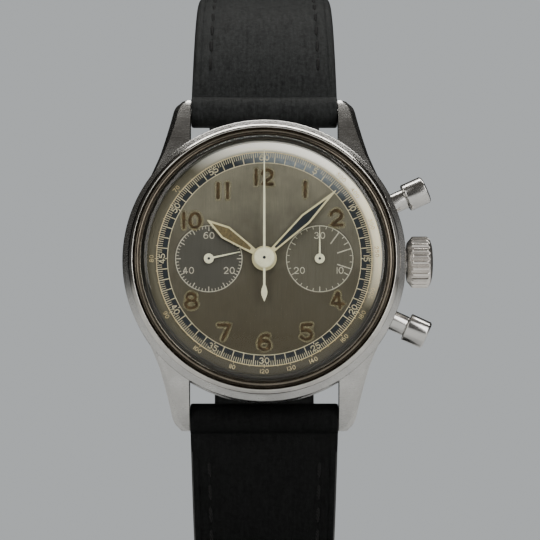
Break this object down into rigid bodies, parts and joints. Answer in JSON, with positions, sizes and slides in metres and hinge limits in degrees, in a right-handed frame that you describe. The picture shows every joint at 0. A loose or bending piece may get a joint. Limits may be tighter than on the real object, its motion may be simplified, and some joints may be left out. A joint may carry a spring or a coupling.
{
  "type": "chronograph wristwatch",
  "caption": "Mechanical chronograph wristwatch with domed crystal, two sub-dials, crown, two pushers and a leather strap with pin buckle.",
  "frame": {"origin": "centre of the case back's outer face, on the axis of the centre hands", "axes": "-Y out through the dial towards the viewer, +Z to 12 o'clock, +X to the crown at 3 o'clock"},
  "size_m": [0.0415, 0.0816, 0.0912],
  "materials": {
    "case_steel": "satin stainless steel, aged",
    "polished_steel": "polished stainless steel",
    "movement_steel": "fine brushed steel",
    "movement_brass": "gilt brass, satin",
    "crystal": "clear domed acrylic or glass",
    "gasket": "matt black",
    "dial": "aged grey-brown dial, vertical grain, printed numerals",
    "gilt_hand": "gilt with dark inlay",
    "cream_hand": "cream paint",
    "strap_leather": "matt black fine-grain leather, black stitching"
  },
  "bodies": {
    "case": {"balance_cock": "movement_brass", "balance_cock_screw": "movement_steel", "barrel_bridge": "movement_brass", "bezel": "polished_steel", "case_back": "polished_steel", "case_back_gasket": "gasket", "case_screw_left": "movement_steel", "case_screw_right": "movement_steel", "chronograph_bridge": "movement_brass", "crown_tube": "case_steel", "crystal": "crystal", "dial": "dial", "main_plate": "movement_brass", "mid_case": "case_steel", "movement_ring": "movement_brass", "pallet_cock": "movement_brass", "reset_pusher_tube": "case_steel", "spring_bar_lower": "case_steel", "spring_bar_upper": "case_steel", "start_pusher_tube": "case_steel", "tension_ring": "case_steel", "train_bridge": "movement_brass"},
    "winding": {"winding_pinion": "movement_steel", "sliding_pinion": "movement_steel"},
    "crown": {"crown": "polished_steel", "winding_stem": "movement_steel"},
    "crown_wheel": {"crown_wheel": "movement_steel"},
    "ratchet": {"ratchet_wheel": "movement_steel", "barrel_arbor": "movement_steel", "mainspring": "movement_steel"},
    "start_pusher": {"start_pusher": "polished_steel"},
    "reset_pusher": {"reset_pusher": "polished_steel"},
    "operating_lever": {"operating_lever": "movement_steel"},
    "reset_lever": {"reset_lever": "movement_steel"},
    "minute": {"minute_hand": "gilt_hand", "cannon_pinion": "movement_steel", "centre_wheel": "movement_brass"},
    "hour": {"hour_hand": "gilt_hand", "hour_wheel": "movement_brass"},
    "minute_wheel": {"minute_wheel": "movement_brass"},
    "barrel": {"barrel_drum": "movement_brass"},
    "third_wheel": {"third_wheel": "movement_brass"},
    "seconds": {"fourth_wheel": "movement_brass", "small_seconds_hand": "cream_hand"},
    "escape_wheel": {"escape_wheel": "movement_steel"},
    "pallet": {"pallet_fork": "movement_steel"},
    "balance": {"balance_wheel": "movement_brass", "hairspring": "movement_steel"},
    "chrono_seconds": {"chrono_seconds_hand": "cream_hand", "chronograph_runner": "movement_brass"},
    "minute_counter": {"minute_counter_wheel": "movement_brass", "minute_counter_hand": "cream_hand"},
    "column_wheel": {"column_wheel": "movement_steel"},
    "strap_upper": {"strap_upper": "strap_leather", "fixed_keeper": "strap_leather", "buckle_spring_bar": "case_steel"},
    "strap_lower": {"strap_lower": "strap_leather"},
    "buckle": {"buckle_frame": "case_steel"},
    "tongue": {"buckle_tongue": "case_steel"},
    "free_keeper": {"free_keeper": "strap_leather"}
  },
  "joints": [
    {"name": "crown_turn", "type": "hinge", "parent": "case", "child": "winding", "pos_m": [0.012, -0.0048, 0], "axis": [1, 0, 0], "continuous": true},
    {"name": "crown_pull", "type": "slide", "parent": "winding", "child": "crown", "axis": [1, 0, 0], "range_m": [0, 0.0009]},
    {"name": "crown_wheel_turn", "type": "hinge", "parent": "case", "child": "crown_wheel", "pos_m": [0.01, -0.003, 0], "axis": [0, 1, 0], "continuous": true},
    {"name": "ratchet_turn", "type": "hinge", "parent": "case", "child": "ratchet", "pos_m": [0.00402, -0.003, 0.00573], "axis": [0, 1, 0], "continuous": true},
    {"name": "start_push", "type": "slide", "parent": "case", "child": "start_pusher", "axis": [-0.91, 0, -0.4147], "range_m": [0, 0.0012], "stiffness_N_per_m": 100, "springref_m": -0.002},
    {"name": "reset_push", "type": "slide", "parent": "case", "child": "reset_pusher", "axis": [-0.91, 0, 0.4147], "range_m": [0, 0.0012], "stiffness_N_per_m": 100, "springref_m": -0.002},
    {"name": "operating_lever_rock", "type": "hinge", "parent": "case", "child": "operating_lever", "pos_m": [0.0123, -0.0014, -0.0022], "axis": [0, -1, 0], "range_deg": [-0.5, 11]},
    {"name": "reset_lever_rock", "type": "hinge", "parent": "case", "child": "reset_lever", "pos_m": [0.01007, -0.0022, -0.00855], "axis": [0, -1, 0], "range_deg": [-0.5, 20]},
    {"name": "minute_turn", "type": "hinge", "parent": "case", "child": "minute", "pos_m": [0, -0.004, 0], "axis": [0, 1, 0], "continuous": true},
    {"name": "hour_turn", "type": "hinge", "parent": "case", "child": "hour", "pos_m": [0, -0.0081, 0], "axis": [0, 1, 0], "continuous": true},
    {"name": "minute_wheel_turn", "type": "hinge", "parent": "case", "child": "minute_wheel", "pos_m": [0, -0.0077, -0.0026], "axis": [0, 1, 0], "continuous": true},
    {"name": "third_turn", "type": "hinge", "parent": "case", "child": "third_wheel", "pos_m": [-0.0042, -0.0053, -0.0046], "axis": [0, 1, 0], "continuous": true},
    {"name": "seconds_turn", "type": "hinge", "parent": "case", "child": "seconds", "pos_m": [-0.00736, -0.0046, 0], "axis": [0, 1, 0], "continuous": true},
    {"name": "escape_turn", "type": "hinge", "parent": "case", "child": "escape_wheel", "pos_m": [-0.0103, -0.0051, 0.0036], "axis": [0, 1, 0], "continuous": true},
    {"name": "barrel_turn", "type": "hinge", "parent": "case", "child": "barrel", "pos_m": [0.00402, -0.0043, 0.00573], "axis": [0, 1, 0], "continuous": true},
    {"name": "chrono_seconds_turn", "type": "hinge", "parent": "case", "child": "chrono_seconds", "pos_m": [0, -0.00185, 0], "axis": [0, 1, 0], "continuous": true},
    {"name": "minute_counter_turn", "type": "hinge", "parent": "case", "child": "minute_counter", "pos_m": [0.00736, -0.00185, 0], "axis": [0, 1, 0], "continuous": true},
    {"name": "pallet_rock", "type": "hinge", "parent": "case", "child": "pallet", "pos_m": [-0.00842, -0.0051, 0.00525], "axis": [0, 1, 0], "range_deg": [-4, 4]},
    {"name": "balance_swing", "type": "hinge", "parent": "case", "child": "balance", "pos_m": [-0.0054, -0.0041, 0.0079], "axis": [0, 1, 0], "range_deg": [-270, 270]},
    {"name": "column_wheel_turn", "type": "hinge", "parent": "case", "child": "column_wheel", "pos_m": [0.0056, -0.0015, -0.0102], "axis": [0, 1, 0], "continuous": true},
    {"name": "strap_upper_pivot", "type": "hinge", "parent": "case", "child": "strap_upper", "pos_m": [0, -0.0019, 0.0209], "axis": [1, 0, 0], "range_deg": [-10, 60]},
    {"name": "strap_lower_pivot", "type": "hinge", "parent": "case", "child": "strap_lower", "pos_m": [0, -0.0019, -0.0209], "axis": [-1, 0, 0], "range_deg": [-10, 60]},
    {"name": "buckle_pivot", "type": "hinge", "parent": "strap_upper", "child": "buckle", "pos_m": [0, 0.0472, 0.01066], "axis": [-1, 0, 0], "range_deg": [-45, 45]},
    {"name": "tongue_pivot", "type": "hinge", "parent": "buckle", "child": "tongue", "pos_m": [0, 0.0472, 0.01066], "axis": [1, 0, 0], "range_deg": [0, 90]},
    {"name": "keeper_slide", "type": "hinge", "parent": "strap_upper", "child": "free_keeper", "pos_m": [0, 0.01721, 0.00985], "axis": [1, 0, 0], "range_deg": [-12, 13]}
  ],
  "couplings": [
    {"joint": "crown_wheel_turn", "follows": "crown_turn", "ratio": -0.54545},
    {"joint": "ratchet_turn", "follows": "crown_turn", "ratio": 0.19835},
    {"joint": "operating_lever_rock", "follows": "start_push", "rad_per_m": 140.79},
    {"joint": "reset_lever_rock", "follows": "reset_push", "rad_per_m": 277.45},
    {"joint": "hour_turn", "follows": "minute_turn", "ratio": 0.083333},
    {"joint": "minute_wheel_turn", "follows": "minute_turn", "ratio": -0.33333},
    {"joint": "third_turn", "follows": "minute_turn", "ratio": -8},
    {"joint": "seconds_turn", "follows": "minute_turn", "ratio": 60},
    {"joint": "escape_turn", "follows": "minute_turn", "ratio": -600},
    {"joint": "barrel_turn", "follows": "minute_turn", "ratio": -0.16667},
    {"joint": "minute_counter_turn", "follows": "chrono_seconds_turn", "ratio": 0.033333}
  ]
}
